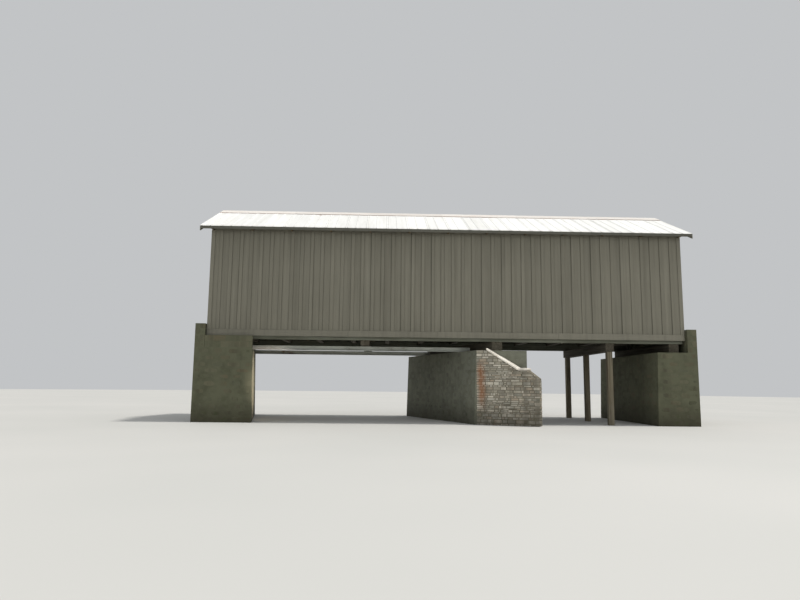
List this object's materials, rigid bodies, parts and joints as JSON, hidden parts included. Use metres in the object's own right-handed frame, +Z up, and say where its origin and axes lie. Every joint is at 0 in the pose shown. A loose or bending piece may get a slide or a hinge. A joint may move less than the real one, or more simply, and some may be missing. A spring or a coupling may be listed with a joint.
{
  "type": "covered bridge",
  "caption": "Short one-lane timber covered bridge with board-and-batten walls and a metal gable roof, on skewed stone abutments with sloping wing walls.",
  "frame": {"origin": "middle of the bridge's plan, at the creek bed level where the masonry starts", "axes": "+X along the roadway from the left abutment to the end pier, +Y across it to the far side, +Z up"},
  "size_m": [14.8, 6.4384, 6.9266],
  "materials": {
    "stone": "coursed rubble with worn lime mortar",
    "coping": "pale weathered stone",
    "heavy_timber": "dark weathered sawn timber",
    "girder_steel": "dull grey painted steel with rust stains",
    "deck_plank": "worn bare planks",
    "frame_timber": "aged sawn timber",
    "siding_board": "flat taupe paint on sawn boards",
    "trim_board": "flat taupe paint",
    "roof_metal": "weathered bare ribbed sheet metal with light rust",
    "ridge_metal": "rusted folded sheet metal"
  },
  "bodies": {
    "root": {"left_abutment": "stone", "right_abutment": "stone", "end_pier": "stone", "backwalls": "stone", "seat_cheeks": "stone", "near_wing_wall": "stone", "far_wing_wall": "stone", "wing_copings": "coping", "sills": "heavy_timber", "bent_posts": "heavy_timber", "bent_cap": "heavy_timber", "needle_beam": "heavy_timber", "near_bottom_chord": "heavy_timber", "far_bottom_chord": "heavy_timber", "floor_beams": "heavy_timber", "near_girder": "girder_steel", "far_girder": "girder_steel", "deck": "deck_plank", "wheel_guards": "deck_plank", "end_posts": "frame_timber", "queen_posts": "frame_timber", "main_braces": "frame_timber", "straining_beams": "frame_timber", "jack_posts": "frame_timber", "top_plates": "frame_timber", "tie_beams": "frame_timber", "knee_braces": "frame_timber", "near_rafters": "frame_timber", "far_rafters": "frame_timber", "purlins": "frame_timber", "girts": "frame_timber", "near_siding": "siding_board", "far_siding": "siding_board", "left_gable": "siding_board", "right_gable": "siding_board", "portal_jambs": "siding_board", "skirt_boards": "trim_board", "corner_boards": "trim_board", "fascias": "trim_board", "rake_boards": "trim_board", "near_roof_sheet": "roof_metal", "far_roof_sheet": "roof_metal", "ridge_cap": "ridge_metal"}
  },
  "joints": []
}
